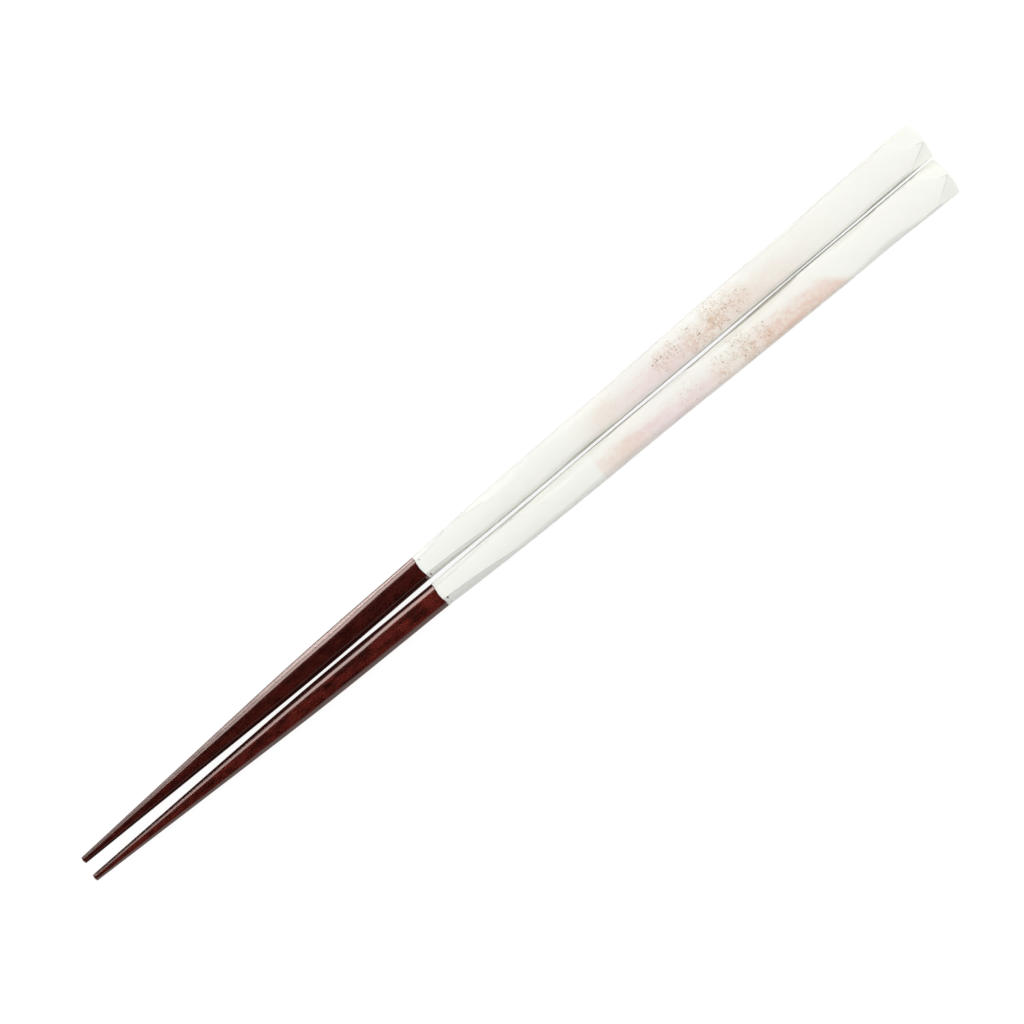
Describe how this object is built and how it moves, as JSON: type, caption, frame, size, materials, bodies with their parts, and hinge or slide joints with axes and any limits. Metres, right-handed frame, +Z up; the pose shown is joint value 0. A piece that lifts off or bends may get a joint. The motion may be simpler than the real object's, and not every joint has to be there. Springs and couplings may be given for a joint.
{
  "type": "chopsticks",
  "caption": "Pair of slim square-tapered table chopsticks with dark wooden shafts and pale faceted resin handles cut to a diamond at the butt.",
  "frame": {"origin": "bottom centre of the pair's box, on the surface that the sticks rest on", "axes": "+X from the tips to the butts, +Z up, +Y from stick 2 towards stick 1"},
  "size_m": [0.2254, 0.0176, 0.0086],
  "materials": {
    "wood": "dark red-brown oiled wood, satin",
    "resin": "glossy milky resin, pale pink towards the middle, with gold dust"
  },
  "bodies": {
    "root": {"shaft_1": "wood", "handle_1": "resin", "shaft_2": "wood", "handle_2": "resin"}
  },
  "joints": []
}
